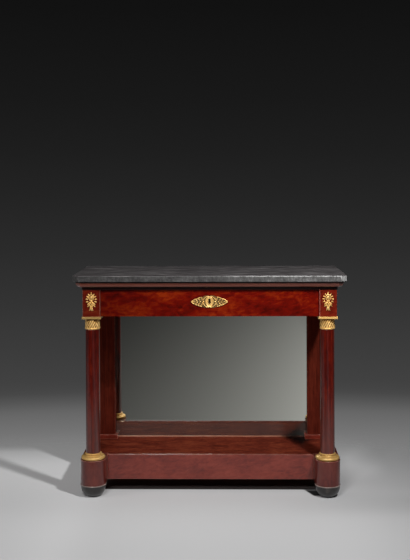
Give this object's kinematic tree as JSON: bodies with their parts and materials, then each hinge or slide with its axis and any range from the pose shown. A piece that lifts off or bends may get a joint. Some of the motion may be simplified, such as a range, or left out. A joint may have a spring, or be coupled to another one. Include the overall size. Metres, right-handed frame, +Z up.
{
  "type": "pier table",
  "caption": "Pier table with a marble slab, a locking frieze drawer, columns with gilt leaf capitals and a mirror between pilasters, on a low shelf plinth with ball feet.",
  "frame": {"origin": "on the floor under the middle of the marble slab", "axes": "+X to the right as seen from the front, +Y towards the wall behind, +Z up"},
  "size_m": [1.096, 0.45, 0.9],
  "materials": {
    "marble": "polished",
    "mahogany": "gloss",
    "ebonised_wood": "gloss",
    "pine": "matte",
    "gilt_bronze": "satin",
    "mirror_glass": "polished",
    "lock_brass": "satin",
    "lock_steel": "satin"
  },
  "bodies": {
    "table": {"marble_top": "marble", "cornice_front": "mahogany", "cornice_left": "mahogany", "cornice_right": "mahogany", "front_post_left": "mahogany", "front_post_right": "mahogany", "back_post_left": "mahogany", "back_post_right": "mahogany", "frieze_side_left": "mahogany", "frieze_side_right": "mahogany", "front_top_rail": "mahogany", "frieze_back_rail": "mahogany", "column_left": "mahogany", "column_right": "mahogany", "plinth_arm_left": "mahogany", "plinth_arm_right": "mahogany", "plinth_front_rail": "mahogany", "plinth_side_rail_left": "mahogany", "plinth_side_rail_right": "mahogany", "shelf_board": "mahogany", "pilaster_base_left": "mahogany", "pilaster_base_right": "mahogany", "mirror_bead": "mahogany", "front_foot_left": "ebonised_wood", "front_foot_right": "ebonised_wood", "back_foot_left": "ebonised_wood", "back_foot_right": "ebonised_wood", "drawer_runner_left": "pine", "drawer_runner_right": "pine", "drawer_guide_left": "pine", "drawer_guide_right": "pine", "drawer_kicker_left": "pine", "drawer_kicker_right": "pine", "drawer_stops": "pine", "plinth_back_rail": "pine", "glue_blocks": "pine", "back_boards": "pine", "mirror_blocks": "pine", "capital_left": "gilt_bronze", "capital_right": "gilt_bronze", "abacus_left": "gilt_bronze", "abacus_right": "gilt_bronze", "column_base_left": "gilt_bronze", "column_base_right": "gilt_bronze", "corner_mount_left": "gilt_bronze", "corner_mount_right": "gilt_bronze", "mirror_plate": "mirror_glass", "strike_plate": "lock_brass"},
    "drawer": {"drawer_front": "mahogany", "drawer_side_left": "pine", "drawer_side_right": "pine", "drawer_back": "pine", "drawer_bottom_panel": "pine", "escutcheon": "gilt_bronze", "lock_case": "lock_brass", "lock_cover": "lock_brass", "lock_screws": "lock_steel"},
    "lock_bolt": {"lock_bolt": "lock_steel"}
  },
  "joints": [
    {"name": "drawer_slide", "type": "slide", "parent": "table", "child": "drawer", "axis": [0, -1, 0], "range_m": [0, 0.22]},
    {"name": "lock_bolt_slide", "type": "slide", "parent": "drawer", "child": "lock_bolt", "axis": [0, 0, 1], "range_m": [0, 0.01]}
  ]
}
